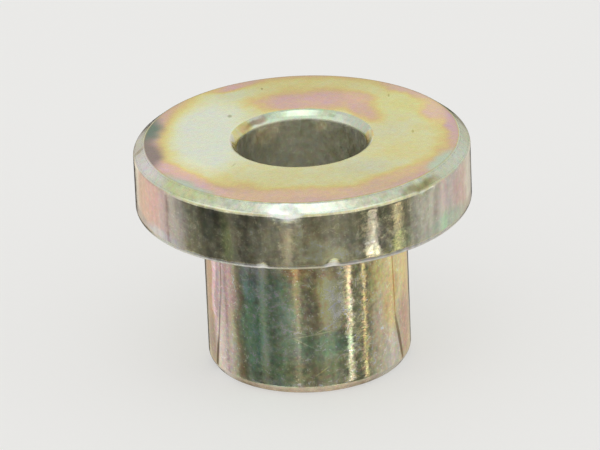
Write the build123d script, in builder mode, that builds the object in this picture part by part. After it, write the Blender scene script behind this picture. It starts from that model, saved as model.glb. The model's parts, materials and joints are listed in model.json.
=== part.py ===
"""Shoulder spacer: one turned steel piece, a thick flange on a plain barrel with a bore right through.

Sizes are in millimetres. The origin is at the centre of the barrel's end face, with +Z up the bore.
"""

import os

from build123d import *

os.makedirs("parts", exist_ok=True)

# Driving dimensions
bore_diameter = 9.7
barrel_wall = 2.87
shoulder_width = 4.98
barrel_length = 12.7
flange_thickness = 5.15

# Breaks and blends on the edges, as the turning tool leaves them
bore_chamfer = 0.55
end_bevel_in = 0.38
end_bevel_up = 0.6
end_blend = 0.15
root_fillet = 0.4
flange_under_round = 0.3
rim_bevel_in = 0.87
rim_bevel_down = 0.68
rim_blend = 0.25

# Sizes that follow
bore_radius = bore_diameter / 2
barrel_radius = bore_radius + barrel_wall
flange_radius = barrel_radius + shoulder_width
overall_height = barrel_length + flange_thickness

# Corners of the turned outline, from the barrel's end up: distance from the axis, height and blend
outline = [
    (0, 0, 0),
    (barrel_radius - end_bevel_in, 0, end_blend),
    (barrel_radius, end_bevel_up, end_blend),
    (barrel_radius, barrel_length, root_fillet),
    (flange_radius, barrel_length, flange_under_round),
    (flange_radius, overall_height - rim_bevel_down, rim_blend),
    (flange_radius - rim_bevel_in, overall_height, rim_blend),
    (0, overall_height, 0),
]

with BuildPart() as shoulder_spacer:
    # Blank: the outline, turned once round the bore's axis
    with BuildSketch(Plane.XZ):
        with BuildLine():
            FilletPolyline(
                [(radius, height) for radius, height, _ in outline],
                radius=[blend for _, _, blend in outline],
                close=True,
            )
        make_face()
    revolve(axis=Axis.Z)

    # Bore, drilled right through, then countersunk at both mouths
    Hole(radius=bore_radius)
    bore_wall = shoulder_spacer.faces(Select.LAST).filter_by(GeomType.CYLINDER)
    chamfer(bore_wall.edges().filter_by(GeomType.CIRCLE), bore_chamfer)

shoulder_spacer.part.label = "shoulder_spacer"
export_step(shoulder_spacer.part, "parts/shoulder_spacer.step")
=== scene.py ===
"""Shoulder spacer, dressed for its picture: turned steel under bright yellow chromate zinc.

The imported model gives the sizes. The spacer is turned again here as a finer mesh with softened
edges and a few nicks, and gets one plated finish, whose colours come from the thickness of the
chromate film. Meshes and sizes are in metres. Materials work in millimetres.
"""

import json
import logging
import math
import random
from collections.abc import Callable
from dataclasses import dataclass, field
from enum import Enum
from functools import partial

import bmesh
import bpy
from mathutils import Matrix, Vector

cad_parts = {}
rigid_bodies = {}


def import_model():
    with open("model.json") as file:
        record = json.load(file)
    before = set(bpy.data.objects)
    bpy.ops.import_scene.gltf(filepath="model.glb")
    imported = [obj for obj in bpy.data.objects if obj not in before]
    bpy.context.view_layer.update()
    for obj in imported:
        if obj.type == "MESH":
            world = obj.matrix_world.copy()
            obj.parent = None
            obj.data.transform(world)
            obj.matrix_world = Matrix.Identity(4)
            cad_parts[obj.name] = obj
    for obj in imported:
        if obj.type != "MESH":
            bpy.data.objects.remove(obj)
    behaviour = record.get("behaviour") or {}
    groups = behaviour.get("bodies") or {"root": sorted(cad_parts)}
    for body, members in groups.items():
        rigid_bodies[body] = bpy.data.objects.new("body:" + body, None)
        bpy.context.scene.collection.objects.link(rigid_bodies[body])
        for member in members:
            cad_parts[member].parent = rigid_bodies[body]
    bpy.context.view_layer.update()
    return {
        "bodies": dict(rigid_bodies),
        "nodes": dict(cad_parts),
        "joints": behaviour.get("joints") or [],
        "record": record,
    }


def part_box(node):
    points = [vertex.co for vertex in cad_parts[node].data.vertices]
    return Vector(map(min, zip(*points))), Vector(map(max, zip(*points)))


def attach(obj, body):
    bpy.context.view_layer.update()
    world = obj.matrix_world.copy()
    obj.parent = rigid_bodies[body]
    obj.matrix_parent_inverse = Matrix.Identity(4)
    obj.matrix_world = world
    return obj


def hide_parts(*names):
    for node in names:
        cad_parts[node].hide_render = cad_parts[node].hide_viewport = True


LOG = logging.getLogger("shoulder_spacer")
MM = 0.001
FULL_TURN = 360.0

Point = tuple[float, float, float]
Colour = tuple[float, float, float]
WHITE: Colour = (1.0, 1.0, 1.0)


class Signal:
    """One output socket of a node tree, used like a number in Python expressions."""

    def __init__(self, graph: "ShaderGraph", socket: bpy.types.NodeSocket) -> None:
        """Keep the socket and the graph that its further maths nodes go to."""
        self.graph = graph
        self.socket = socket

    def __add__(self, other: "Signal | float") -> "Signal":
        """Sum."""
        return self.graph.maths("ADD", self, other)

    def __sub__(self, other: "Signal | float") -> "Signal":
        """Difference."""
        return self.graph.maths("SUBTRACT", self, other)

    def __rsub__(self, other: float) -> "Signal":
        """Difference with the number first."""
        return self.graph.maths("SUBTRACT", other, self)

    def __mul__(self, other: "Signal | float") -> "Signal":
        """Product."""
        return self.graph.maths("MULTIPLY", self, other)

    def __truediv__(self, other: "Signal | float") -> "Signal":
        """Quotient."""
        return self.graph.maths("DIVIDE", self, other)


@dataclass(frozen=True)
class Waves:
    """Smooth noise whose blobs measure about size, in the place's unit.

    The height is what it swings through. The stretch multiplies the place first, so that a
    share below one draws the noise out along that axis.
    """

    size: float
    height: float = 1.0
    detail: float = 2.0
    rough: float = 0.5
    stretch: Point | None = None


class ShaderGraph:
    """A node tree that is filled by Python expressions."""

    def __init__(self, tree: bpy.types.NodeTree) -> None:
        """Start from an empty tree."""
        self.tree = tree
        tree.nodes.clear()

    def node(
        self,
        kind: str,
        settings: dict[str, object] | None = None,
        inputs: dict[str | int, object] | None = None,
    ) -> bpy.types.Node:
        """Add one node.

        Args:
            kind: the node's type name.
            settings: properties of the node, set before its sockets.
            inputs: socket name or number, and the value or signal that it takes.

        Returns:
            The new node.
        """
        made = self.tree.nodes.new(kind)
        for name, value in (settings or {}).items():
            setattr(made, name, value)
        for key, value in (inputs or {}).items():
            if isinstance(value, Signal):
                self.tree.links.new(value.socket, made.inputs[key])
            else:
                made.inputs[key].default_value = value
        return made

    def signal(
        self,
        kind: str,
        settings: dict[str, object] | None = None,
        inputs: dict[str | int, object] | None = None,
        output: str | int = 0,
    ) -> Signal:
        """Add one node and return one of its outputs, by name or number."""
        return Signal(self, self.node(kind, settings, inputs).outputs[output])

    def maths(self, operation: str, *values: "Signal | float") -> Signal:
        """One Math node on numbers."""
        return self.signal("ShaderNodeMath", {"operation": operation}, dict(enumerate(values)))

    def vector_maths(self, operation: str, *values: "Signal | Point", output: int = 0) -> Signal:
        """One Vector Math node on vectors or colours."""
        settings = {"operation": operation}
        return self.signal("ShaderNodeVectorMath", settings, dict(enumerate(values)), output)

    def combine(self, x: "Signal | float", y: "Signal | float", z: "Signal | float") -> Signal:
        """A vector from three numbers."""
        return self.signal("ShaderNodeCombineXYZ", None, {0: x, 1: y, 2: z})

    def ramp(
        self,
        value: Signal,
        start: float,
        end: float,
        low: float = 0.0,
        high: float = 1.0,
    ) -> Signal:
        """Move smoothly from low to high while value goes from start to end.

        Args:
            value: the signal that is read.
            start: where the rise starts; it may be above end, and then the ramp falls with value.
            end: where it is done.
            low: what comes out before start.
            high: what comes out after end.

        Returns:
            The smooth step.
        """
        settings = {"interpolation_type": "SMOOTHSTEP"}
        if start > end:
            start, end, low, high = end, start, high, low
        inputs = {0: value, 1: start, 2: end, 3: low, 4: high}
        return self.signal("ShaderNodeMapRange", settings, inputs)

    def band(self, value: Signal, centre: float, half_width: float, soft: float) -> Signal:
        """One inside centre plus or minus half_width, falling to nought over soft on each side."""
        away = self.maths("ABSOLUTE", value - centre)
        return self.ramp(away, half_width + soft, half_width)

    def noise(self, place: Signal, waves: Waves) -> Signal:
        """Noise from about minus half the waves' height to half of it."""
        if waves.stretch is not None:
            place = self.vector_maths("MULTIPLY", place, waves.stretch)
        inputs = {"Scale": 1.0 / waves.size, "Detail": waves.detail, "Roughness": waves.rough}
        level = self.signal("ShaderNodeTexNoise", None, {"Vector": place} | inputs) - 0.5
        return level if waves.height == 1.0 else level * waves.height

    def noise_vector(self, place: Signal, size: float) -> Signal:
        """Three noises from about -0.5 to 0.5 at once, for pushing places about."""
        inputs = {"Vector": place, "Scale": 1.0 / size}
        colour = self.signal("ShaderNodeTexNoise", None, inputs, output="Color")
        return self.vector_maths("SUBTRACT", colour, (0.5, 0.5, 0.5))

    def split(self, vector: Signal) -> tuple[Signal, Signal, Signal]:
        """The three numbers of a vector."""
        parts = self.node("ShaderNodeSeparateXYZ", None, {0: vector}).outputs
        return Signal(self, parts[0]), Signal(self, parts[1]), Signal(self, parts[2])

    def profile(self, degrees: Signal, stops: tuple[tuple[float, float], ...]) -> Signal:
        """A number that follows straight lines between (degrees, value) stops, -180 to 180."""
        share = degrees / FULL_TURN + 0.5
        ramp = self.node("ShaderNodeValToRGB", None, {0: share})
        elements = ramp.color_ramp.elements
        while len(elements) < len(stops):
            elements.new(0.5)
        for element, (where, value) in zip(elements, stops):
            element.position = where / FULL_TURN + 0.5
            element.color = rgba((value, value, value))
        return self.split(Signal(self, ramp.outputs["Color"]))[0]

    def blend(self, share: Signal, first: "Signal | float", second: "Signal | float") -> Signal:
        """Number first where share is nought and second where it is one."""
        inputs = {0: share, 2: first, 3: second}
        return self.signal("ShaderNodeMix", {"data_type": "FLOAT"}, inputs)

    def mix(
        self, share: "Signal | float", first: "Signal | Colour", second: "Signal | Colour"
    ) -> Signal:
        """Colour first where share is nought and second where it is one."""
        inputs = {0: share, 4: first, 5: second}
        return self.signal("ShaderNodeMix", {"data_type": "VECTOR"}, inputs, output=1)


def rgba(colour: Colour) -> tuple[float, float, float, float]:
    """The colour with full alpha."""
    return (*colour, 1.0)


@dataclass(frozen=True)
class SpacerSizes:
    """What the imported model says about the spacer, in metres."""

    bore_radius: float
    barrel_radius: float
    flange_radius: float
    shoulder_level: float
    top_level: float

    @classmethod
    def from_frame(cls, frame: dict, node: str) -> "SpacerSizes":
        """Read the sizes.

        Args:
            node: name of the spacer's node.

        Returns:
            The sizes, from the node's box and the record's mounts.
        """
        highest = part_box(node)[1]
        mounts = {mount["name"]: mount for mount in frame["record"]["mounts"]}
        return cls(
            bore_radius=mounts["bore"]["dims"]["r_mm"] * MM,
            barrel_radius=mounts["barrel"]["dims"]["r_mm"] * MM,
            flange_radius=highest.x,
            shoulder_level=mounts["shoulder"]["pos_m"][2],
            top_level=highest.z,
        )


@dataclass(frozen=True)
class Corner:
    """One corner of the turned outline."""

    radius: float
    level: float
    softness: float
    rows_after: int


@dataclass(frozen=True)
class Nick:
    """A small knock on the surface, pushed in."""

    angle: float
    radius: float
    level: float
    reach: float
    push: Point


@dataclass
class TurnedSpacer:
    """The spacer's body, turned ring by ring."""

    sizes: SpacerSizes
    segments: int = 320
    bore_bevel: float = 0.55 * MM
    end_bevel_in: float = 0.38 * MM
    end_bevel_up: float = 0.60 * MM
    rim_bevel_in: float = 0.87 * MM
    rim_bevel_down: float = 0.68 * MM
    root_soft: float = 0.40 * MM
    under_soft: float = 0.30 * MM
    edge_soft: float = 0.20 * MM
    blend_steps: int = 5
    smooth_angle: float = 35.0
    merge_distance: float = 1e-7
    nearness: float = 1e-6
    nicks: list[Nick] = field(default_factory=list)

    def corners(self) -> list[Corner]:
        """The outline's corners, from the lower end of the bore outwards and up, and back in."""
        s = self.sizes
        mouth = s.bore_radius + self.bore_bevel
        rim_low = s.top_level - self.rim_bevel_down
        return [
            Corner(s.bore_radius, self.bore_bevel, self.edge_soft, 3),
            Corner(mouth, 0.0, self.edge_soft, 7),
            Corner(s.barrel_radius - self.end_bevel_in, 0.0, self.edge_soft, 3),
            Corner(s.barrel_radius, self.end_bevel_up, self.edge_soft, 40),
            Corner(s.barrel_radius, s.shoulder_level, self.root_soft, 12),
            Corner(s.flange_radius, s.shoulder_level, self.under_soft, 16),
            Corner(s.flange_radius, rim_low, self.edge_soft, 6),
            Corner(s.flange_radius - self.rim_bevel_in, s.top_level, self.edge_soft, 22),
            Corner(mouth, s.top_level, self.edge_soft, 3),
            Corner(s.bore_radius, s.top_level - self.bore_bevel, self.edge_soft, 24),
        ]

    def build(self, name: str) -> bpy.types.Object:
        """Turn the body.

        Args:
            name: name of the finished piece.

        Returns:
            The piece, with its place in its mesh.
        """
        bpy.ops.object.select_all(action="DESELECT")
        corners = self.corners()
        first = corners[0]
        bpy.ops.mesh.primitive_circle_add(
            vertices=self.segments,
            radius=first.radius,
            location=(0.0, 0.0, first.level),
            fill_type="NOTHING",
        )
        piece = bpy.context.object
        piece.name = name
        piece.data.name = name
        bpy.ops.object.transform_apply(location=True, rotation=True, scale=True)
        bpy.ops.object.mode_set(mode="EDIT")
        bpy.ops.mesh.select_all(action="SELECT")
        for here, there in zip(corners, corners[1:] + corners[:1]):
            self._extrude_ring(here, there)
        bpy.ops.mesh.select_all(action="SELECT")
        bpy.ops.mesh.remove_doubles(threshold=self.merge_distance)
        bpy.ops.mesh.normals_make_consistent(inside=False)
        self._cut_rows(piece, corners)
        self._soften_corners(piece, corners)
        for nick in self.nicks:
            self._press(piece, nick)
        bpy.ops.object.mode_set(mode="OBJECT")
        bpy.ops.object.shade_smooth_by_angle(angle=math.radians(self.smooth_angle))
        weighting = piece.modifiers.new("flat faces stay flat", "WEIGHTED_NORMAL")
        weighting.keep_sharp = True
        bpy.ops.object.modifier_apply(modifier=weighting.name)
        return piece

    def _extrude_ring(self, here: Corner, there: Corner) -> None:
        """Pull the selected ring from one corner of the outline to the next."""
        rise = (0.0, 0.0, there.level - here.level)
        bpy.ops.mesh.extrude_region_move(TRANSFORM_OT_translate={"value": rise})
        grow = there.radius / here.radius
        bpy.ops.transform.resize(value=(grow, grow, 1.0), center_override=(0.0, 0.0, 0.0))

    def _is_at(self, co: Vector, corner: Corner) -> bool:
        """True if a vertex lies on the corner's ring."""
        aside = abs(math.hypot(co.x, co.y) - corner.radius)
        return max(aside, abs(co.z - corner.level)) < self.nearness

    @staticmethod
    def _select_edges(piece: bpy.types.Object, wanted: Callable[[Vector, Vector], bool]) -> None:
        """Select, in edit mode, the edges whose two ends pass the test."""
        bpy.ops.mesh.select_mode(type="EDGE")
        bpy.ops.mesh.select_all(action="DESELECT")
        for edge in bmesh.from_edit_mesh(piece.data).edges:
            if wanted(edge.verts[0].co, edge.verts[1].co):
                edge.select_set(True)
        bmesh.update_edit_mesh(piece.data)

    def _cut_rows(self, piece: bpy.types.Object, corners: list[Corner]) -> None:
        """Divide each band between two corners into rows of faces."""
        for here, there in zip(corners, corners[1:] + corners[:1]):
            self._select_edges(
                piece,
                lambda a, b: (self._is_at(a, here) and self._is_at(b, there))
                or (self._is_at(b, here) and self._is_at(a, there)),
            )
            bpy.ops.mesh.subdivide_edgering(
                number_cuts=here.rows_after - 1, interpolation="LINEAR"
            )

    def _soften_corners(self, piece: bpy.types.Object, corners: list[Corner]) -> None:
        """Round each corner of the outline by its own softness."""
        for corner in corners:
            self._select_edges(
                piece, lambda a, b: self._is_at(a, corner) and self._is_at(b, corner)
            )
            bpy.ops.mesh.bevel(
                offset=corner.softness,
                offset_type="OFFSET",
                segments=self.blend_steps,
                affect="EDGES",
                clamp_overlap=False,
            )

    @staticmethod
    def _press(piece: bpy.types.Object, nick: Nick) -> None:
        """Push the surface in round one point."""
        turn = math.radians(nick.angle)
        outward = Vector((math.sin(turn), -math.cos(turn), 0.0))
        across = Vector((math.cos(turn), math.sin(turn), 0.0))
        spot = outward * nick.radius + Vector((0.0, 0.0, nick.level))
        move = outward * nick.push[0] + across * nick.push[1] + Vector((0.0, 0.0, nick.push[2]))
        bpy.ops.mesh.select_mode(type="VERT")
        bpy.ops.mesh.select_all(action="DESELECT")
        shell = bmesh.from_edit_mesh(piece.data)
        nearest = min(shell.verts, key=lambda vertex: (vertex.co - spot).length_squared)
        nearest.select_set(True)
        bmesh.update_edit_mesh(piece.data)
        bpy.ops.transform.translate(
            value=move,
            use_proportional_edit=True,
            proportional_edit_falloff="SMOOTH",
            proportional_size=nick.reach,
        )


class Zone(Enum):
    """The turned faces, each with a plating of its own and a chart for patches."""

    TOP = "flat top of the flange"
    WALL = "side wall of the flange"
    BARREL = "side wall of the barrel"
    RIM = "bevel round the flange"
    MOUTH = "bevel round the bore's mouth"
    BORE = "wall of the bore"
    EDGE = "lower edge of the flange"
    END = "bevel at the barrel's end"


@dataclass(frozen=True)
class Plating:
    """What the plating of one zone is like where nothing has happened to it.

    The path is the clear film's, in nanometres: twice its thickness times its index. The rest
    are shares: how far the film wanders, how blotchy, flecked and hue-spotted the surface is,
    how deep its turning grooves are, and how uneven it is otherwise.
    """

    path: float
    tint: Colour = WHITE
    rough: float = 0.15
    wander: float = 1.0
    blotchy: float = 0.5
    flecked: float = 0.0
    spotted: float = 0.3
    grooved: float = 0.0
    uneven: float = 0.6


@dataclass(frozen=True)
class Patch:
    """A rounded area whose colour differs from what is round it.

    On the flat top the centre is millimetres along X and Y. On the turned walls and bevels it is
    degrees round the axis from the front, growing to the right, and millimetres of height. The
    size is always millimetres, half the patch's reach along and across. The path is the film's
    own inside the patch, in nanometres. The shade is a colour of its own there, whatever the
    film, and the tint multiplies what is there. Most patches are stains and changes of the film;
    some are painted highlights, painted shade and painted reflections. A straight patch keeps its
    even outline.
    """

    zone: Zone
    centre: tuple[float, float]
    size: tuple[float, float]
    path: float | None = None
    shade: Colour | None = None
    tint: Colour = WHITE
    turn: float = 0.0
    rough: float = 0.0
    soft: float = 0.5
    straight: bool = False


@dataclass(frozen=True)
class Film:
    """Interference in a thin clear film on bright zinc.

    Each wavelength is weakened most where the film's path is an odd number of its halves.
    """

    mirror: Colour = (0.81, 0.81, 0.70)
    depth: Colour = (0.23, 0.38, 0.56)
    wavelengths: Colour = (620.0, 540.0, 452.0)

    def colour(self, graph: ShaderGraph, path: Signal) -> Signal:
        """The colour that the film gives the metal.

        Args:
            graph: the material's graph.
            path: the optical path in nanometres.

        Returns:
            The reflected colour.
        """
        turns = tuple(2.0 * math.pi / length for length in self.wavelengths)
        swing = tuple(m * d / 2.0 for m, d in zip(self.mirror, self.depth))
        middle = tuple(m - s for m, s in zip(self.mirror, swing))
        phase = graph.vector_maths("MULTIPLY", graph.combine(path, path, path), turns)
        wave = graph.vector_maths("COSINE", phase)
        return graph.vector_maths("MULTIPLY_ADD", wave, swing, middle)


PLATINGS = {
    Zone.TOP: Plating(
        585.0, (1.03, 1.035, 1.03), rough=0.22, wander=1.2, blotchy=0.12, flecked=0.12,
        spotted=0.24, uneven=0.2,
    ),
    Zone.WALL: Plating(
        566.0, (0.95, 0.90, 0.98), rough=0.09, blotchy=1.0, flecked=0.9, grooved=1.0, uneven=0.12
    ),
    Zone.BARREL: Plating(
        572.0, (0.94, 0.90, 0.96), rough=0.09, blotchy=0.95, flecked=2.6, spotted=0.6,
        grooved=1.25, uneven=0.12,
    ),
    Zone.RIM: Plating(520.0, rough=0.17, spotted=0.4, grooved=0.5),
    Zone.MOUTH: Plating(515.0, rough=0.17, spotted=0.4, grooved=0.5),
    # The bore's tint is partly painted shade: besides giving the colour, it darkens the bore wall
    # for the light that the bore would block.
    Zone.BORE: Plating(530.0, (0.89, 0.845, 0.96), rough=0.40, flecked=1.0, grooved=0.5),
    Zone.EDGE: Plating(500.0, (0.93, 0.86, 0.94), rough=0.30, blotchy=0.6, flecked=0.5),
    Zone.END: Plating(540.0, (0.76, 0.60, 0.60), rough=0.20, blotchy=0.6, flecked=0.4),
}


class Layout:
    """Where the shader is on the spacer: in which zone, and where on each zone's chart.

    Each pair of lengths says where a zone's mask starts and where it is whole, in millimetres
    from the face or edge that it belongs to. The worn arc is in radians from the front.
    """

    SKIN = (0.08, 0.02)
    UNDERSIDE = 0.1
    BORE_BEVEL = (0.55, 0.65)
    EDGE_DEPTH = (0.45, 0.35)
    EDGE_HEIGHT = (0.50, 0.34)
    EDGE_WAVES = Waves(0.7, 0.25)
    END_HEIGHT = (0.72, 0.58)
    WORN_ARC = (0.62, 0.98)
    WORN_LOSS = 0.66
    PUSH_SIZES = (3.0, 0.8)
    EVEN_PUSH = (0.01, 0.02)
    UNEVEN_PUSH = (1.5, 0.28)

    def __init__(self, graph: ShaderGraph, sizes: SpacerSizes) -> None:
        """Work out the place, the zones and the charts.

        Args:
            graph: the material's graph.
            sizes: the spacer's sizes.
        """
        self.graph = graph
        self.sizes = sizes
        metres = graph.signal("ShaderNodeTexCoord", output="Object")
        self.place = graph.vector_maths("MULTIPLY", metres, (1.0 / MM, 1.0 / MM, 1.0 / MM))
        self.zones = self._zones()
        x, y, _ = graph.split(self.place)
        aside = graph.maths("ABSOLUTE", graph.maths("ARCTAN2", x, 0.0 - y))
        self.worn = 1.0 - graph.ramp(aside, *self.WORN_ARC) * self.WORN_LOSS
        self.even = self._charts(self._warped(*self.EVEN_PUSH))
        self.pushed = self._charts(self._warped(*self.UNEVEN_PUSH))

    def _zones(self) -> dict[Zone, Signal]:
        """A mask for each zone, from the distance to the axis and the height in millimetres."""
        graph = self.graph
        top = self.sizes.top_level / MM
        shoulder = self.sizes.shoulder_level / MM
        flange = self.sizes.flange_radius / MM
        bore = self.sizes.bore_radius / MM
        x, y, z = graph.split(self.place)
        radius = graph.maths("SQRT", x * x + y * y)
        start, whole = self.SKIN
        upper = graph.ramp(z, top - start, top - whole)
        outer = graph.ramp(radius, flange - start, flange - whole)
        above = graph.ramp(z, shoulder - self.UNDERSIDE, shoulder)
        start, whole = self.BORE_BEVEL
        past_bore = graph.ramp(radius, bore + start, bore + whole)
        in_mouth = graph.ramp(z, top - whole, top - start)
        start, whole = self.EDGE_DEPTH
        near_edge = graph.ramp(radius, flange - start, flange - whole)
        uneven = graph.noise(self.place, self.EDGE_WAVES)
        start, whole = self.EDGE_HEIGHT
        low_edge = graph.ramp(z + uneven, shoulder + start, shoulder + whole) * near_edge * above
        end = graph.ramp(z, *self.END_HEIGHT) * past_bore
        return {
            Zone.TOP: upper * past_bore,
            Zone.WALL: outer * (1.0 - low_edge),
            Zone.BARREL: past_bore * (1.0 - above) * (1.0 - end),
            Zone.RIM: (1.0 - outer) * (1.0 - upper) * past_bore * above * (1.0 - low_edge),
            Zone.MOUTH: (1.0 - past_bore) * in_mouth,
            Zone.BORE: (1.0 - past_bore) * (1.0 - in_mouth),
            Zone.EDGE: low_edge,
            Zone.END: end,
        }

    def _warped(self, far: float, near: float) -> Signal:
        """The place, pushed about a little so that the patches get uneven outlines.

        Args:
            far: how far the wide waves push, in millimetres.
            near: how far the fine waves push, in millimetres.

        Returns:
            The pushed place.
        """
        graph = self.graph
        wide, fine = (graph.noise_vector(self.place, size) for size in self.PUSH_SIZES)
        pushed = graph.vector_maths("MULTIPLY_ADD", wide, (far, far, far), self.place)
        return graph.vector_maths("MULTIPLY_ADD", fine, (near, near, near), pushed)

    def _charts(self, place: Signal) -> dict[Zone, Signal]:
        """Flat coordinates in millimetres for each zone, shared by zones of one radius."""
        x, y, z = self.graph.split(place)
        turn = self.graph.maths("ARCTAN2", x, 0.0 - y)
        charts = {Zone.TOP: self.graph.combine(x, y, 0.0)}
        of_radius = {}
        for zone in list(Zone)[1:]:
            radius = self.radius(zone)
            if radius not in of_radius:
                of_radius[radius] = self.graph.combine(turn * radius, z, 0.0)
            charts[zone] = of_radius[radius]
        return charts

    def radius(self, zone: Zone) -> float:
        """Radius in millimetres that turns a zone's degrees into lengths."""
        s = self.sizes
        inner = {Zone.MOUTH: s.bore_radius, Zone.BORE: s.bore_radius}
        barrel = {Zone.BARREL: s.barrel_radius, Zone.END: s.barrel_radius}
        return (inner | barrel).get(zone, s.flange_radius) / MM

    def by_zone(self, read: Callable[[Plating], float], first: Signal | None = None) -> Signal:
        """A number that goes from zone to zone.

        Args:
            read: takes the number from a zone's plating.
            first: a signal that stands for the flat top's number.

        Returns:
            The number where the shader is.
        """
        value = read(PLATINGS[Zone.TOP]) if first is None else first
        for zone in list(Zone)[1:]:
            value = self.graph.blend(self.zones[zone], value, read(PLATINGS[zone]))
        return value

    def mask(self, patch: Patch) -> Signal:
        """One in the middle of the patch, falling to nought outside it."""
        along, height = patch.centre
        if patch.zone is not Zone.TOP:
            along = math.radians(along) * self.radius(patch.zone)
        turn = math.radians(patch.turn)
        wide, tall = patch.size
        chart = (self.even if patch.straight else self.pushed)[patch.zone]
        away = self.graph.vector_maths("SUBTRACT", chart, (along, height, 0.0))
        if patch.turn:
            first = (math.cos(turn) / wide, math.sin(turn) / wide, 0.0)
            second = (-math.sin(turn) / tall, math.cos(turn) / tall, 0.0)
            across = self.graph.vector_maths("DOT_PRODUCT", away, first, output=1)
            up = self.graph.vector_maths("DOT_PRODUCT", away, second, output=1)
            distance = self.graph.maths("SQRT", across * across + up * up)
        else:
            away = self.graph.vector_maths("DIVIDE", away, (wide, tall, 1.0))
            distance = self.graph.vector_maths("LENGTH", away, output=1)
        share = self.graph.ramp(distance, 1.0 + patch.soft, 1.0 - patch.soft)
        return share * self.zones[patch.zone]


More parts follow.
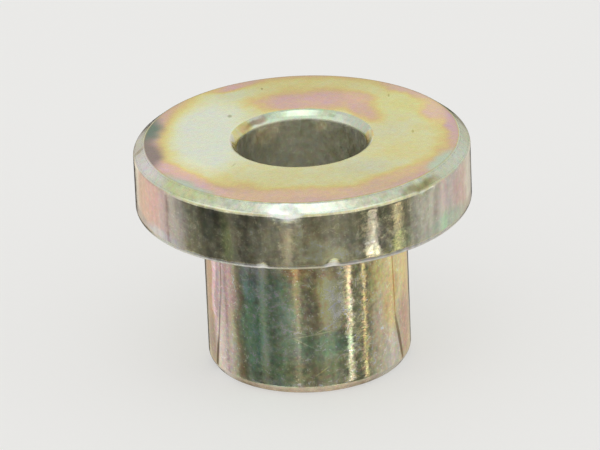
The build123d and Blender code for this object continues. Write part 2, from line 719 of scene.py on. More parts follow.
@dataclass(frozen=True)
class PlatedFinish:
    """Bright zinc under a yellow chromate film, over turned and tumbled steel.

    The film is thicker past the ring on the flat top. The noises with a height change the
    film's path in nanometres, the tone in shares, or the relief in relief units. What ends in
    from, width or area is a pair of noise values between which a mark comes in.
    """

    sizes: SpacerSizes
    patches: tuple[Patch, ...]
    film: Film = Film()
    ring_centre: tuple[float, float] = (0.55, 0.75)
    ring_radius: float = 10.25
    ring_soft: float = 1.4
    ring_path: float = 765.0
    edge_tint: Colour = (0.66, 0.60, 0.52)
    film_wide: Waves = Waves(1.5, 90.0, 3.0, 0.6)
    film_fine: Waves = Waves(0.32, 42.0, 2.0, 0.6)
    blotches: Waves = Waves(0.58, 1.0, 3.0, 0.6)
    streaks: Waves = Waves(0.5, 0.8, stretch=(1.0, 1.0, 0.14))
    grain: Waves = Waves(0.20, 1.0, 2.0, 0.6)
    fleck_from: tuple[float, float] = (0.12, 0.24)
    fleck_light: float = 0.6
    pit_from: tuple[float, float] = (-0.12, -0.25)
    pit_dark: float = 0.1
    winding: Waves = Waves(0.8, 1.0, 1.0)
    hair_width: tuple[float, float] = (0.018, 0.006)
    hair_area: tuple[float, float] = (0.02, 0.12)
    hair_light: float = 0.5
    hue_size: float = 0.33
    dull_from: tuple[float, float] = (-0.16, 0.24)
    dull_rough: float = 0.15
    relief_unit: float = 0.001 * MM
    dents: Waves = Waves(0.55, 14.0)
    pores: Waves = Waves(0.18, 1.6, 2.0, 0.6)
    fine_grooves: Waves = Waves(0.09, 5.0, 1.0, stretch=(0.12, 0.12, 1.0))
    wide_grooves: Waves = Waves(0.3, 9.0, 1.0, stretch=(0.4, 0.4, 1.0))

    def make(self, name: str) -> bpy.types.Material:
        """Build the material.

        Args:
            name: the material's name.

        Returns:
            The finished material.
        """
        material = bpy.data.materials.new(name)
        material.use_nodes = True
        graph = ShaderGraph(material.node_tree)
        layout = Layout(graph, self.sizes)
        path, recolour = self._path(layout)
        colour = graph.vector_maths("MULTIPLY", self.film.colour(graph, path), recolour)
        colour = self._recoloured(layout, colour)
        blotch = graph.noise(layout.place, self.blotches)
        colour = self._mottled(layout, colour, blotch)
        rough = self._roughness(layout, blotch)
        relief = self._relief(layout)
        inputs = {"Strength": 1.0, "Distance": self.relief_unit, "Height": relief}
        bump = graph.signal("ShaderNodeBump", None, inputs)
        shader = graph.signal(
            "ShaderNodeBsdfPrincipled",
            None,
            {
                "Base Color": colour,
                "Metallic": 1.0,
                "Roughness": rough,
                "Normal": bump,
                "Specular Tint": rgba(self.edge_tint),
            },
        )
        graph.node("ShaderNodeOutputMaterial", None, {"Surface": shader})
        return material

    def _path(self, layout: Layout) -> tuple[Signal, Signal]:
        """The film's optical path in nanometres, and what its patches stain.

        Args:
            layout: the spacer's layout in the material.

        Returns:
            The path, from each zone's own, the patches and some wander, and the stain.
        """
        graph = layout.graph
        offset = (-self.ring_centre[0], -self.ring_centre[1], 0.0)
        from_middle = graph.vector_maths("ADD", layout.pushed[Zone.TOP], offset)
        distance = graph.vector_maths("LENGTH", from_middle, output=1)
        radius, soft = self.ring_radius, self.ring_soft
        ring = graph.ramp(distance, radius - soft, radius + soft)
        own = PLATINGS[Zone.TOP].path
        top = ring * (self.ring_path - own) + own
        path = layout.by_zone(lambda plating: plating.path, top)
        recolour = graph.mix(layout.zones[Zone.TOP], WHITE, PLATINGS[Zone.TOP].tint)
        for patch in self.patches:
            if patch.path is None:
                continue
            mask = layout.mask(patch)
            path = graph.blend(mask, path, patch.path)
            if patch.tint != WHITE:
                recolour = graph.vector_maths("MULTIPLY", recolour, graph.mix(mask, WHITE, patch.tint))
        wander = graph.noise(layout.place, self.film_wide)
        wander = wander + graph.noise(layout.place, self.film_fine)
        return path + wander * layout.by_zone(lambda plating: plating.wander), recolour

    def _recoloured(self, layout: Layout, colour: Signal) -> Signal:
        """The film's colour with each zone's own tint and the patches over it.

        The patches are stains, and in places painted highlights, painted shade and
        painted reflections.
        """
        graph = layout.graph
        for zone, plating in list(PLATINGS.items())[1:]:
            if plating.tint != WHITE:
                recolour = graph.mix(layout.zones[zone], WHITE, plating.tint)
                colour = graph.vector_maths("MULTIPLY", colour, recolour)
        for patch in self.patches:
            if patch.shade is not None:
                colour = graph.mix(layout.mask(patch), colour, patch.shade)
            if patch.tint != WHITE and patch.path is None:
                recolour = graph.mix(layout.mask(patch), WHITE, patch.tint)
                colour = graph.vector_maths("MULTIPLY", colour, recolour)
        return colour

    def _mottled(self, layout: Layout, colour: Signal, blotch: Signal) -> Signal:
        """The colour broken up by blotches, upright streaks, flecks, hairs and spots of hue."""
        graph, place = layout.graph, layout.place
        tone = blotch + graph.noise(place, self.streaks)
        tone = tone * layout.by_zone(lambda plating: plating.blotchy)
        grain = graph.noise(place, self.grain)
        light = graph.ramp(grain, *self.fleck_from) * self.fleck_light
        flecks = light - graph.ramp(grain, *self.pit_from) * self.pit_dark
        winding = graph.maths("ABSOLUTE", graph.noise(place, self.winding))
        hairs = graph.ramp(winding, *self.hair_width) * graph.ramp(blotch, *self.hair_area)
        flecks = flecks + hairs * self.hair_light
        tone = (flecks * layout.by_zone(lambda plating: plating.flecked) + tone) * layout.worn + 1.0
        spotted = layout.by_zone(lambda plating: plating.spotted)
        strength = graph.combine(spotted, spotted, spotted)
        spots = graph.vector_maths("MULTIPLY", graph.noise_vector(place, self.hue_size), strength)
        hue = graph.vector_maths("ADD", spots, graph.combine(tone, tone, tone))
        return graph.vector_maths("MULTIPLY", colour, hue)

    def _relief(self, layout: Layout) -> Signal:
        """Height of the fine relief, in relief units."""
        graph, place = layout.graph, layout.place
        uneven = graph.noise(place, self.dents) * layout.by_zone(lambda plating: plating.uneven)
        uneven = uneven + graph.noise(place, self.pores)
        grooves = graph.noise(place, self.fine_grooves) + graph.noise(place, self.wide_grooves)
        grooves = grooves * layout.worn * layout.by_zone(lambda plating: plating.grooved)
        return grooves + uneven

    def _roughness(self, layout: Layout, blotch: Signal) -> Signal:
        """Roughness: satin on top, brighter on the turned walls, dull in the blotches."""
        dull = layout.graph.ramp(blotch, *self.dull_from)
        rough = dull * self.dull_rough + layout.by_zone(lambda plating: plating.rough)
        for patch in self.patches:
            if patch.rough:
                rough = rough + layout.mask(patch) * patch.rough
        return rough


@dataclass(frozen=True)
class Strip:
    """An upright strip of light or shade in the lower part of the room."""

    azimuth: float
    half_width: float
    tone: Colour
    soft: float = 1.0


@dataclass(frozen=True)
class Room:
    """The studio round the spacer: pale, with a darker side low down towards the camera.

    Angles are degrees. Azimuth 0 is towards the camera and grows to its right. The low tones
    are what stands round the spacer below the level of its top, as (azimuth, brightness). The
    glow is overhead. It starts at the reach from its way and is full where the cosine is.
    """

    seen: Colour = (0.775, 0.77, 0.755)
    belt: float = 0.87
    sides: float = 0.66
    low_middle: float = -27.0
    low_half: float = 14.0
    low_soft: float = 12.0
    low_tones: tuple[tuple[float, float], ...] = (
        (-180.0, 0.14), (-170.0, 0.0), (-164.0, 0.26), (-159.0, 1.10), (-150.0, 1.10),
        (-136.0, 1.02), (-124.0, 0.88), (-101.0, 0.60), (-94.0, 0.45),
        (-87.0, 0.24), (-78.0, 0.17), (-68.0, 0.14), (-60.0, 0.09), (-53.0, 0.24),
        (-44.0, 0.08), (-20.0, 0.23), (-11.0, 0.31), (-3.0, 0.17),
        (8.0, 0.18), (20.0, 0.34), (36.0, 0.16), (56.0, 0.14), (73.0, 0.22),
        (81.0, 0.42), (94.0, 0.56), (118.0, 0.64), (134.0, 0.78), (152.0, 0.96),
        (162.0, 0.90), (168.0, 0.22), (172.0, 0.0), (180.0, 0.14),
    )
    strips: tuple[Strip, ...] = (
        Strip(47.2, 1.5, (2.1, 1.96, 1.96)),
        Strip(66.5, 0.85, (1.7, 1.5, 1.2)),
        Strip(109.0, 2.2, (0.76, 0.76, 0.76), 2.0),
        Strip(-107.5, 1.5, (0.44, 0.40, 0.42), 2.0),
        Strip(-13.0, 1.7, (0.60, 0.56, 0.50), 2.4),
    )
    strip_half: float = 4.0
    strip_soft: float = 6.0
    side_band: tuple[float, float, float] = (128.0, 26.0, 14.0)
    roof: tuple[float, float] = (46.0, 62.0)
    glow_way: Point = (0.0, -0.29, 0.957)
    glow_reach: float = 25.0
    glow_full: float = 0.994
    glow_tone: float = 0.80

    def make(self) -> bpy.types.World:
        """Build the world and give it to the scene."""
        world = bpy.data.worlds.new("studio_room")
        world.use_nodes = True
        bpy.context.scene.world = world
        graph = ShaderGraph(world.node_tree)
        way = graph.signal("ShaderNodeTexCoord", output="Generated")
        x, y, z = graph.split(way)
        azimuth = graph.maths("ARCTAN2", x, 0.0 - y) * math.degrees(1.0)
        height = graph.maths("ARCSINE", z) * math.degrees(1.0)
        beside = graph.band(graph.maths("ABSOLUTE", azimuth), *self.side_band)
        high = graph.ramp(height, *self.roof)
        above = graph.maths("MAXIMUM", beside, high)
        tone = graph.ramp(above, 0.0, 1.0, self.belt, self.sides)
        glow = graph.vector_maths("DOT_PRODUCT", way, self.glow_way, output=1)
        far = math.cos(math.radians(self.glow_reach))
        tone = tone + graph.ramp(glow, far, self.glow_full, 0.0, self.glow_tone)
        colour = graph.combine(tone, tone, tone)
        low = graph.band(height, self.low_middle, self.low_half, self.low_soft)
        profile = graph.profile(azimuth, self.low_tones)
        colour = graph.mix(low, colour, graph.combine(profile, profile, profile))
        near = graph.band(height, self.low_middle, self.strip_half, self.strip_soft)
        for strip in self.strips:
            share = graph.band(azimuth, strip.azimuth, strip.half_width, strip.soft) * near
            colour = graph.mix(share, colour, strip.tone)
        camera = graph.signal("ShaderNodeLightPath", output="Is Camera Ray")
        colour = graph.mix(camera, colour, self.seen)
        light = graph.signal("ShaderNodeBackground", None, {"Color": colour, "Strength": 1.0})
        graph.node("ShaderNodeOutputWorld", None, {"Surface": light})
        return world


@dataclass(frozen=True)
class Floor:
    """The pale surface that the spacer stands on, kept pale where the camera looks at it."""

    half_width: float = 3.0
    colour: Colour = (0.93, 0.925, 0.905)
    seen: Colour = (0.87, 0.865, 0.85)
    seen_share: float = 0.55

    def make(self) -> bpy.types.Object:
        """Lay the floor."""
        bpy.ops.object.select_all(action="DESELECT")
        bpy.ops.mesh.primitive_plane_add(size=2.0 * self.half_width, location=(0.0, 0.0, 0.0))
        floor = bpy.context.object
        floor.name = "floor"
        material = bpy.data.materials.new("pale_floor")
        material.use_nodes = True
        graph = ShaderGraph(material.node_tree)
        matt = graph.signal("ShaderNodeBsdfDiffuse", None, {"Color": rgba(self.colour)})
        even = graph.signal("ShaderNodeEmission", None, {"Color": rgba(self.seen)})
        camera = graph.signal("ShaderNodeLightPath", output="Is Camera Ray") * self.seen_share
        both = graph.signal("ShaderNodeMixShader", None, {0: camera, 1: matt, 2: even})
        graph.node("ShaderNodeOutputMaterial", None, {"Surface": both})
        floor.data.materials.append(material)
        floor.visible_glossy = False
        floor.visible_shadow = False
        return floor


@dataclass(frozen=True)
class Viewpoint:
    """The camera, placed by where the middle of the flange's top falls in the picture."""

    picture: tuple[int, int] = (600, 450)
    middle: tuple[float, float] = (301.27, 137.06)
    pixels_per_mm: float = 13.302
    distance: float = 452.0 * MM
    elevation: float = 24.56
    roll: float = 2.43
    sensor: float = 36.0
    clip: tuple[float, float] = (0.01, 20.0)

    def make(self, target: Vector) -> bpy.types.Object:
        """Set up the camera.

        Args:
            target: the point whose pixel and distance are given.

        Returns:
            The scene's camera.
        """
        rise, turn = math.radians(self.elevation), math.radians(self.roll)
        back = Vector((0.0, -math.cos(rise), math.sin(rise)))
        level = Vector((1.0, 0.0, 0.0))
        upright = back.cross(level)
        right = level * math.cos(turn) - upright * math.sin(turn)
        up = level * math.sin(turn) + upright * math.cos(turn)
        across = (self.middle[0] - self.picture[0] / 2.0) / self.pixels_per_mm * MM
        down = (self.middle[1] - self.picture[1] / 2.0) / self.pixels_per_mm * MM
        lens = bpy.data.cameras.new("camera")
        lens.sensor_width = self.sensor
        lens.lens = self.sensor * self.pixels_per_mm * (self.distance / MM) / self.picture[0]
        lens.clip_start, lens.clip_end = self.clip
        camera = bpy.data.objects.new("camera", lens)
        bpy.context.scene.collection.objects.link(camera)
        camera.matrix_world = Matrix.Translation(
            target + back * self.distance - right * across + up * down
        ) @ Matrix((right, up, back)).transposed().to_4x4()
        bpy.context.scene.camera = camera
        return camera


def top_patches() -> tuple[Patch, ...]:
    """Where the film on the flat top differs, in millimetres along X and Y.

    The two dark patches at the left rim are painted reflection, not film.
    """
    recolour = partial(Patch, Zone.TOP)
    spot = partial(recolour, straight=True)
    pink = (1.05, 1.02, 1.10)
    return (
        recolour((0.5, 10.2), (8.0, 2.6), tint=(0.91, 0.91, 0.91)),
        recolour((0.0, -7.6), (8.0, 1.9), tint=(0.94, 0.94, 0.94)),
        recolour((8.0, 5.8), (2.6, 2.6), path=606.0, tint=(1.0, 1.04, 0.98), soft=0.8),
        recolour((7.5, -3.4), (2.2, 1.9), path=604.0, soft=0.8),
        recolour((6.4, 1.0), (1.3, 2.2), path=562.0, tint=(0.97, 0.96, 0.98), soft=0.8),
        recolour((4.6, -5.6), (2.2, 1.3), path=556.0, tint=(0.93, 0.92, 0.95), soft=0.8),
        recolour((-5.0, 8.6), (2.8, 1.5), path=550.0, soft=0.8),
        recolour((0.4, 9.9), (3.2, 0.8), path=616.0, soft=0.8),
        recolour((0.0, -10.3), (6.6, 1.0), path=738.0, tint=(1.06, 1.06, 1.1), soft=0.8),
        recolour((7.0, -7.7), (2.6, 0.9), path=726.0, tint=(1.08, 1.08, 1.1), turn=40.0, soft=0.7),
        recolour((5.6, -9.6), (2.2, 0.8), tint=(0.93, 0.94, 1.0), turn=30.0),
        recolour((-7.9, -5.2), (1.0, 4.0), path=622.0, tint=(1.06, 1.05, 1.08), turn=42.0),
        recolour((-8.9, -6.2), (0.6, 4.2), path=778.0, tint=(1.2, 1.16, 1.18), turn=40.0, soft=0.6),
        recolour((-8.9, -8.3), (1.0, 2.9), shade=(0.6, 0.68, 0.56), turn=44.0, soft=0.4),
        recolour((-6.9, 0.8), (3.0, 6.4), path=503.0, tint=(1.13, 1.13, 1.15), soft=0.4),
        recolour((-6.2, 0.0), (0.9, 2.2), tint=(0.98, 1.0, 1.0), soft=0.9),
        recolour((-0.7, 6.8), (2.9, 2.0), path=762.0, tint=pink, soft=0.6),
        recolour((2.6, 7.0), (2.6, 1.8), path=756.0, tint=pink, turn=-12.0, soft=0.6),
        recolour((4.8, 4.8), (1.1, 2.4), path=746.0, tint=pink, turn=25.0, soft=0.6),
        recolour((4.6, 7.4), (1.2, 0.8), path=728.0, tint=(1.06, 1.03, 1.15), turn=-40.0),
        recolour((-3.6, 5.0), (0.5, 1.1), path=560.0, soft=0.7),
        recolour((10.0, 4.0), (0.9, 2.4), path=744.0, tint=(1.17, 1.17, 1.3), turn=8.0, soft=0.7),
        recolour((11.4, 1.4), (0.6, 3.6), path=772.0, tint=(1.0, 0.99, 1.18), soft=0.6),
        recolour((8.4, 8.0), (0.7, 2.6), path=744.0, tint=(1.06, 1.05, 1.2), turn=46.0, soft=0.7),
        recolour((-5.3, 10.1), (1.6, 0.6), path=770.0, tint=(1.1, 1.08, 1.1), turn=25.0, soft=0.7),
        recolour((10.3, -5.4), (0.6, 1.9), shade=(0.62, 0.72, 0.56), turn=-27.0),
        # Painted reflection: the next two dark patches at the left rim stand for something dark
        # mirrored there.
        recolour((-11.9, 2.7), (1.35, 2.7), shade=(0.22, 0.3, 0.25), soft=0.4),
        recolour((-11.9, -2.3), (1.35, 3.2), shade=(0.36, 0.3, 0.28), soft=0.4),
        spot((-5.35, 4.5), (0.16, 0.26), tint=(0.62, 0.62, 0.58)),
        spot((6.8, 7.2), (0.07, 0.26), tint=(0.7, 0.7, 0.6)),
        spot((8.4, 0.2), (0.08, 0.3), tint=(0.74, 0.74, 0.62)),
        spot((-2.85, 9.5), (0.08, 0.18), tint=(0.62, 0.55, 0.52)),
        spot((-5.1, -4.6), (0.07, 0.35), tint=(0.82, 0.82, 0.8), turn=-25.0),
    )


def wall_patches() -> tuple[Patch, ...]:
    """Stains on the flange's side wall, with painted highlights and painted shade among them, in
    degrees and millimetres of height.
    """
    recolour = partial(Patch, Zone.WALL)
    line = partial(recolour, straight=True)
    return (
        recolour((-79.0, 15.4), (2.1, 3.4), shade=(1.0, 0.94, 0.8)),
        recolour((-69.5, 15.4), (1.5, 2.8), shade=(0.78, 0.57, 0.46)),
        recolour((-62.0, 15.6), (1.2, 2.6), shade=(0.82, 0.56, 0.48)),
        recolour((-55.5, 15.4), (0.7, 2.8), shade=(0.78, 0.6, 0.54)),
        recolour((-48.5, 15.2), (1.1, 3.0), shade=(0.8, 0.72, 0.6)),
        recolour((-75.0, 13.2), (2.0, 0.6), shade=(0.58, 0.52, 0.47)),
        recolour((-57.0, 13.3), (2.2, 0.6), shade=(0.8, 0.76, 0.72)),
        # Painted shade: a dark strip at the wall's left outline, where it turns away.
        recolour((-86.0, 15.4), (0.7, 3.4), shade=(0.34, 0.31, 0.28)),
        line((-53.4, 15.4), (0.14, 2.6), tint=(0.92, 0.86, 0.86)),
        recolour((-27.0, 14.8), (0.5, 2.0), tint=(0.9, 1.04, 0.8)),
        recolour((-35.0, 16.2), (1.7, 1.2), tint=(0.78, 0.8, 0.8)),
        recolour((-24.0, 16.6), (3.6, 0.8), tint=(0.72, 0.72, 0.74)),
        recolour((-45.5, 16.4), (0.8, 1.0), tint=(0.78, 0.8, 0.8)),
        recolour((-34.0, 14.9), (0.6, 0.7), tint=(0.8, 0.87, 0.9)),
        recolour((-34.0, 15.0), (0.9, 3.4), tint=(0.76, 0.76, 0.76)),
        # Painted highlight: a bright spot low on the wall, at a lit strip's reflection.
        recolour((28.8, 13.4), (0.5, 0.8), tint=(1.5, 1.5, 1.24)),
        recolour((0.0, 14.8), (1.6, 1.2), tint=(1.4, 1.36, 1.22)),
        # Painted light: a brighter band low on the front of the wall.
        recolour((11.5, 13.4), (2.3, 0.7), tint=(1.36, 1.36, 1.24)),
        recolour((7.0, 16.2), (0.9, 1.4), tint=(0.8, 0.78, 0.76)),
        recolour((20.5, 16.4), (2.6, 1.0), tint=(0.94, 0.93, 0.86)),
        recolour((38.5, 16.2), (1.0, 1.4), tint=(0.68, 0.66, 0.6)),
        recolour((-6.5, 14.8), (0.7, 2.4), tint=(0.78, 0.78, 0.84)),
        # Painted shade: darkens the upper part of the lit strip's reflection on the wall.
        recolour((24.0, 15.4), (0.7, 1.8), tint=(0.72, 0.73, 0.79)),
        # Painted highlight: the bright blob at the foot of the lit strip's reflection.
        recolour((22.8, 13.5), (0.45, 0.5), tint=(1.3, 1.35, 1.3)),
        recolour((33.5, 13.8), (1.0, 1.2), tint=(0.94, 1.06, 0.92)),
        recolour((45.0, 15.2), (1.6, 3.0), shade=(0.77, 0.74, 0.58)),
        recolour((51.5, 15.2), (0.5, 2.6), shade=(0.6, 0.54, 0.43)),
        recolour((63.0, 15.4), (2.4, 2.8), shade=(0.76, 0.69, 0.62)),
        recolour((68.0, 15.3), (1.5, 1.7), shade=(0.82, 0.64, 0.58), turn=25.0),
        recolour((60.0, 13.4), (2.6, 0.9), shade=(0.66, 0.73, 0.58)),
        recolour((79.5, 15.6), (1.5, 3.0), shade=(0.96, 0.96, 0.86)),
        recolour((78.0, 13.2), (1.6, 0.7), shade=(0.64, 0.6, 0.54)),
        # Painted shade: a dark spot low at the wall's right outline, where it turns away.
        recolour((86.5, 13.4), (0.8, 1.2), shade=(0.34, 0.32, 0.3)),
        line((55.0, 16.2), (0.4, 1.5), tint=(1.08, 0.97, 1.02)),
        line((55.0, 13.6), (0.4, 1.0), tint=(0.92, 1.1, 0.94)),
        # Painted highlight: the nick below the rim is painted near white for the light it catches.
        recolour((-7.0, 16.9), (1.2, 0.4), shade=(0.96, 1.0, 0.86)),
    )


def barrel_patches() -> tuple[Patch, ...]:
    """Stains on the barrel's wall, with painted highlights, painted shade and painted reflections
    of dark lines among them, in degrees and millimetres of height.
    """
    recolour = partial(Patch, Zone.BARREL)
    line = partial(recolour, straight=True)
    return (
        # Painted shade: a dark strip at the barrel's left outline.
        recolour((-82.0, 8.5), (0.9, 4.5), shade=(0.3, 0.23, 0.13)),
        recolour((-73.0, 7.6), (0.9, 5.0), shade=(0.58, 0.42, 0.29)),
        recolour((-65.4, 7.4), (0.42, 5.0), shade=(0.88, 0.63, 0.66)),
        recolour((-61.2, 8.0), (0.36, 3.8), shade=(0.56, 0.43, 0.44), turn=-6.0),
        recolour((-55.0, 7.6), (0.7, 4.8), shade=(0.72, 0.57, 0.53)),
        recolour((-50.0, 8.6), (0.55, 3.4), shade=(0.84, 0.61, 0.53)),
        recolour((-56.0, 2.4), (1.2, 2.6), shade=(0.84, 0.71, 0.62)),
        recolour((-49.0, 11.4), (1.0, 1.0), shade=(0.8, 0.66, 0.4)),
        # Painted shade: darker low on the left, where the barrel mirrors the shaded floor under the
        # flange.
        recolour((-72.0, 2.4), (1.0, 2.4), shade=(0.42, 0.34, 0.28)),
        recolour((-41.0, 5.0), (0.5, 6.0), tint=(0.78, 0.68, 0.66)),
        recolour((-33.5, 9.6), (0.9, 2.0), tint=(0.92, 1.1, 1.42)),
        recolour((-34.5, 4.8), (0.9, 3.6), tint=(0.83, 1.32, 1.3)),
        recolour((-26.0, 11.0), (1.6, 1.4), tint=(1.42, 1.32, 1.32)),
        recolour((-20.0, 5.4), (1.3, 5.4), tint=(0.98, 1.36, 1.4)),
        recolour((-7.0, 10.8), (1.3, 1.2), shade=(1.0, 0.76, 0.42)),
        # Painted highlight: a bright spot on the right of the barrel.
        recolour((60.0, 7.2), (0.5, 1.8), tint=(1.68, 1.68, 2.15)),
        # Painted highlight: a bright upright streak, as a lit strip's reflection.
        line((28.3, 6.0), (0.3, 7.0), tint=(1.24, 1.26, 1.12)),
        recolour((-6.5, 2.8), (0.5, 2.4), tint=(0.82, 0.84, 0.96)),
        line((-9.0, 5.3), (1.1, 0.045), tint=(1.5, 1.5, 1.45), turn=-14.0),
        line((2.0, 5.0), (1.3, 0.05), tint=(1.6, 1.55, 1.45), turn=9.0),
        line((9.0, 5.5), (1.0, 0.04), tint=(1.6, 1.55, 1.45), turn=26.0),
        line((-3.0, 4.3), (0.9, 0.04), tint=(1.5, 1.5, 1.45), turn=-30.0),
        line((13.0, 7.2), (0.5, 0.06), tint=(1.7, 1.6, 1.45), turn=38.0),
        line((11.0, 8.6), (0.5, 0.05), tint=(1.6, 1.55, 1.4), turn=-25.0),
        line((6.0, 1.9), (0.6, 0.05), tint=(1.6, 1.5, 1.3), turn=35.0),
        recolour((70.0, 11.2), (1.2, 1.2), tint=(0.8, 0.82, 0.84)),
        recolour((12.0, 11.9), (0.6, 0.4), shade=(0.9, 0.6, 0.32)),
        recolour((2.0, 9.6), (1.8, 1.4), tint=(0.94, 0.88, 0.8)),
        # Painted highlight: a bright spot on the front of the barrel.
        recolour((14.0, 7.8), (1.1, 1.9), tint=(2.05, 1.88, 1.66), rough=0.1),
        recolour((6.5, 7.4), (0.8, 1.6), tint=(0.8, 0.77, 0.7)),
        recolour((7.0, 4.2), (2.2, 1.3), tint=(0.74, 0.98, 0.95)),
        recolour((17.0, 2.8), (0.9, 1.8), tint=(1.1, 1.22, 1.22)),
        recolour((-2.0, 1.9), (3.6, 0.9), tint=(0.82, 0.84, 0.72)),
        line((24.0, 10.4), (0.4, 1.8), tint=(1.12, 0.98, 0.88)),
        line((33.5, 6.0), (0.3, 7.0), tint=(1.02, 0.98, 0.9)),
        recolour((46.5, 8.9), (1.3, 4.0), shade=(0.97, 0.82, 0.35)),
        recolour((46.0, 4.0), (1.1, 3.4), shade=(0.86, 0.74, 0.5)),
        recolour((63.0, 9.6), (2.2, 3.6), shade=(0.98, 0.84, 0.46)),
        recolour((75.0, 8.2), (1.2, 3.4), shade=(1.0, 0.8, 0.42)),
        recolour((55.0, 6.4), (0.9, 2.4), shade=(0.9, 0.7, 0.36)),
        recolour((71.0, 3.4), (1.3, 2.8), shade=(0.7, 0.51, 0.4)),
        recolour((54.0, 1.8), (1.3, 1.5), shade=(0.78, 0.72, 0.58)),
        # Painted shade: a dark strip at the barrel's right outline.
        recolour((86.0, 6.0), (0.6, 8.0), shade=(0.16, 0.12, 0.07)),
        # Painted reflections: the next five thin dark lines mirror dark lines round the spacer.
        line((-57.3, 9.4), (0.09, 3.0), tint=(0.62, 0.54, 0.52), turn=-1.5),
        line((-61.0, 4.6), (0.11, 2.6), tint=(0.46, 0.44, 0.54), turn=-8.0),
        line((-65.4, 1.4), (0.19, 1.8), tint=(0.28, 0.24, 0.22), turn=-10.0),
        line((56.6, 8.4), (0.08, 4.0), tint=(0.74, 0.58, 0.42), turn=2.0),
        line((61.8, 2.4), (0.19, 2.2), tint=(0.4, 0.34, 0.3), turn=14.0),
    )


def edge_patches() -> tuple[Patch, ...]:
    """Stains on the bevels and edges, with painted highlights and painted shade among them, in
    degrees and millimetres of height.
    """
    zones = (Zone.RIM, Zone.MOUTH, Zone.BORE, Zone.EDGE, Zone.END)
    rim, mouth, bore, edge, end = (partial(Patch, zone) for zone in zones)
    return (
        rim((-77.0, 17.5), (3.4, 0.8), shade=(0.98, 0.95, 0.89)),
        rim((-45.0, 17.65), (2.8, 0.35), path=570.0, tint=(0.94, 1.0, 0.96)),
        rim((-87.0, 17.5), (0.4, 0.3), tint=(0.7, 0.66, 0.55)),
        rim((42.5, 17.45), (1.5, 0.25), tint=(0.62, 0.58, 0.46)),
        rim((48.0, 17.35), (1.3, 0.25), tint=(0.78, 0.74, 0.62)),
        rim((84.0, 17.5), (4.4, 0.6), path=535.0, tint=(1.08, 1.12, 1.26)),
        rim((0.0, 17.5), (3.2, 0.8), tint=(0.98, 1.02, 1.14)),
        # Painted highlight: the nick at the rim's lower edge is painted near white for the light it
        # catches.
        rim((-7.0, 17.0), (1.3, 0.4), shade=(0.94, 1.0, 0.88)),
        # Painted highlight: a lighter band on the rim's far left.
        rim((-110.0, 17.6), (3.4, 0.36), tint=(1.4, 1.42, 1.55)),
        # Painted shade: a darker line at the rim's lower edge on the left.
        rim((-104.0, 17.12), (3.4, 0.14), tint=(0.5, 0.5, 0.48)),
        rim((106.0, 17.2), (2.2, 0.25), tint=(0.66, 0.62, 0.62)),
        # Painted highlights: the next two rows brighten a line at the rim's outer edge, where it
        # catches light.
        rim((20.0, 17.15), (1.8, 0.14), tint=(1.22, 1.22, 1.2)),
        rim((-28.0, 17.15), (1.8, 0.14), tint=(1.14, 1.14, 1.12)),
        # Painted highlights: the next two rows brighten spots high on the far wall of the bore.
        bore((-147.0, 16.5), (1.2, 0.8), tint=(1.36, 1.22, 1.06)),
        bore((163.0, 16.7), (0.5, 0.5), tint=(1.4, 1.3, 1.1)),
        bore((177.0, 16.7), (0.7, 0.6), tint=(0.8, 0.82, 0.72)),
        mouth((-98.0, 17.5), (1.6, 0.6), path=615.0, tint=(1.2, 1.2, 1.25)),
        mouth((-125.0, 17.5), (0.6, 0.6), path=672.0, tint=(1.04, 1.06, 1.06)),
        mouth((92.0, 17.5), (0.9, 0.6), path=705.0, tint=(1.2, 1.2, 1.25)),
        # Painted highlights: the next two rows brighten the mouth bevel's outer line at each side.
        mouth((-90.0, 17.75), (1.2, 0.14), tint=(1.5, 1.5, 1.8)),
        mouth((90.0, 17.75), (1.2, 0.14), tint=(1.3, 1.35, 1.6)),
        # Painted shade: a darker band on the mouth bevel's left.
        mouth((-138.0, 17.65), (0.9, 0.16), tint=(0.6, 0.48, 0.44)),
        mouth((153.0, 17.7), (0.3, 0.12), tint=(0.8, 0.77, 0.72)),
        mouth((-165.0, 17.5), (1.4, 0.6), tint=(0.92, 1.04, 0.96)),
        mouth((165.0, 17.5), (1.4, 0.6), tint=(0.92, 1.04, 0.96)),
        edge((0.0, 12.9), (3.0, 1.0), tint=(0.82, 0.8, 0.66)),
        # Painted light: the next two rows lighten the lower edge at the sides.
        edge((-45.0, 13.0), (3.6, 0.4), tint=(1.22, 1.24, 1.26)),
        edge((45.0, 13.0), (3.0, 0.4), tint=(1.16, 1.16, 1.16)),
        # Painted shade: the next two rows darken the lower edge at the outlines.
        edge((-78.0, 12.9), (2.6, 1.0), shade=(0.12, 0.11, 0.1)),
        edge((79.0, 12.9), (2.2, 1.0), shade=(0.34, 0.33, 0.31)),
        # Painted highlights: the next two rows are the glints on the nicks in the lower edge.
        edge((8.8, 12.95), (0.6, 0.6), shade=(1.0, 1.0, 0.92), rough=0.1),
        edge((-15.5, 12.95), (0.4, 0.5), shade=(0.92, 0.9, 0.82), rough=0.1),
        # Painted shade: the next two rows darken the end bevel at the sides, next to the floor.
        end((-46.0, 0.12), (2.6, 0.2), tint=(0.68, 0.68, 0.65)),
        end((46.0, 0.12), (2.6, 0.2), tint=(0.66, 0.66, 0.65)),
        end((-62.0, 0.3), (1.8, 1.0), shade=(0.66, 0.64, 0.58)),
        # Painted shade: the next two rows darken the end bevel at the outlines.
        end((-79.0, 0.3), (1.0, 1.0), shade=(0.16, 0.14, 0.12)),
        end((79.0, 0.3), (0.9, 1.0), shade=(0.32, 0.3, 0.26)),
        end((60.0, 0.3), (2.6, 1.0), shade=(0.62, 0.61, 0.53)),
    )


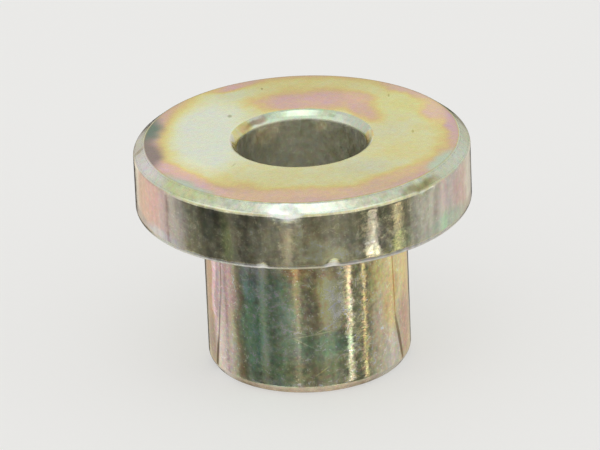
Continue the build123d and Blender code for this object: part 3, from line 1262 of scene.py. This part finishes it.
def back_patches(sizes: SpacerSizes) -> tuple[Patch, ...]:
    """Patches of the same kinds, scattered over the side that faces away from the camera."""
    dice = random.Random(41)
    count, first, apart, stray = 10, 96.0, 18.5, 6.0
    half_widths, half_heights = (0.8, 1.9), (1.4, 3.2)
    levels = {
        Zone.WALL: (sizes.shoulder_level / MM, sizes.top_level / MM),
        Zone.BARREL: (1.0, sizes.shoulder_level / MM - 1.0),
    }
    shades = ((0.79, 0.55, 0.46), (0.78, 0.69, 0.56), (0.80, 0.72, 0.40), (0.67, 0.73, 0.56))
    patches = []
    for zone, (lowest, highest) in levels.items():
        for step in range(count):
            azimuth = first + apart * step + dice.uniform(-stray, stray)
            if azimuth > FULL_TURN / 2.0:
                azimuth -= FULL_TURN
            patches.append(
                Patch(
                    zone,
                    (azimuth, dice.uniform(lowest, highest)),
                    (dice.uniform(*half_widths), dice.uniform(*half_heights)),
                    shade=dice.choice(shades),
                    soft=0.7,
                )
            )
    return tuple(patches)


def edge_nicks(sizes: SpacerSizes) -> list[Nick]:
    """Small knocks on the flange's two edges, as handling leaves them."""
    rim_low = sizes.top_level - TurnedSpacer.rim_bevel_down
    low_edge = sizes.shoulder_level + 0.2 * MM
    knocks = (
        (-7.2, rim_low, 1.1, -0.1, -0.15),
        (-3.6, rim_low, 0.9, -0.06, -0.07),
        (8.8, low_edge, 0.7, -0.22, 0.03),
        (-15.0, low_edge, 0.55, -0.14, 0.02),
        (22.8, sizes.shoulder_level + 0.75 * MM, 0.8, -0.022, 0.0),
        (44.0, rim_low, 0.9, -0.1, -0.06),
    )
    return [
        Nick(angle, sizes.flange_radius, level, reach * MM, (out * MM, 0.0, up * MM))
        for angle, level, reach, out, up in knocks
    ]


def main() -> None:
    """Build the spacer, its finish and the studio."""
    logging.basicConfig(level=logging.INFO, format="%(name)s: %(message)s")
    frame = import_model()
    node = "shoulder_spacer"
    sizes = SpacerSizes.from_frame(frame, node)
    spacer = TurnedSpacer(sizes, nicks=edge_nicks(sizes)).build("spacer_body")
    patches = top_patches() + wall_patches() + barrel_patches() + edge_patches()
    finish = PlatedFinish(sizes, patches + back_patches(sizes))
    spacer.data.materials.append(finish.make("yellow_chromate_zinc"))
    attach(spacer, "root")
    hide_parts(node)
    LOG.info("%s: %d faces", spacer.name, len(spacer.data.polygons))
    Floor().make()
    Room().make()
    Viewpoint().make(Vector((0.0, 0.0, sizes.top_level)))
    bpy.context.scene.view_settings.view_transform = "Standard"


if __name__ == "__main__":
    main()
